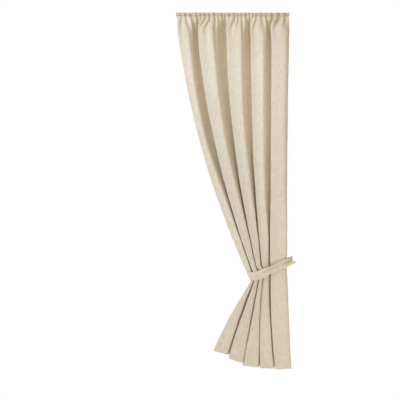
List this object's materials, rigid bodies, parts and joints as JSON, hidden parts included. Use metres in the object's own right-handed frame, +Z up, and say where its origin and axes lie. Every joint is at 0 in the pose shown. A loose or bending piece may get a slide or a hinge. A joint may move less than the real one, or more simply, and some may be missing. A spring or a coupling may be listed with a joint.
{
  "type": "jacquard curtain panel with a gathered heading and a tieback",
  "caption": "Cream crinkled jacquard curtain, shirred along its top and drawn to one side by a narrow tieback of the same cloth.",
  "frame": {"origin": "middle of the heading's top edge, where the curtain is hung", "axes": "+Z up along the drop, +X to the right as seen from the room, +Y to the wall behind"},
  "size_m": [0.8264, 0.1517, 2.4383],
  "materials": {
    "jacquard": "crinkled tone-on-tone cream jacquard, dull with a soft sheen",
    "tape": "plain woven off-white gathering tape"
  },
  "bodies": {
    "root": {"curtain_panel": "jacquard", "tieback": "jacquard", "heading_tape": "tape"}
  },
  "joints": []
}
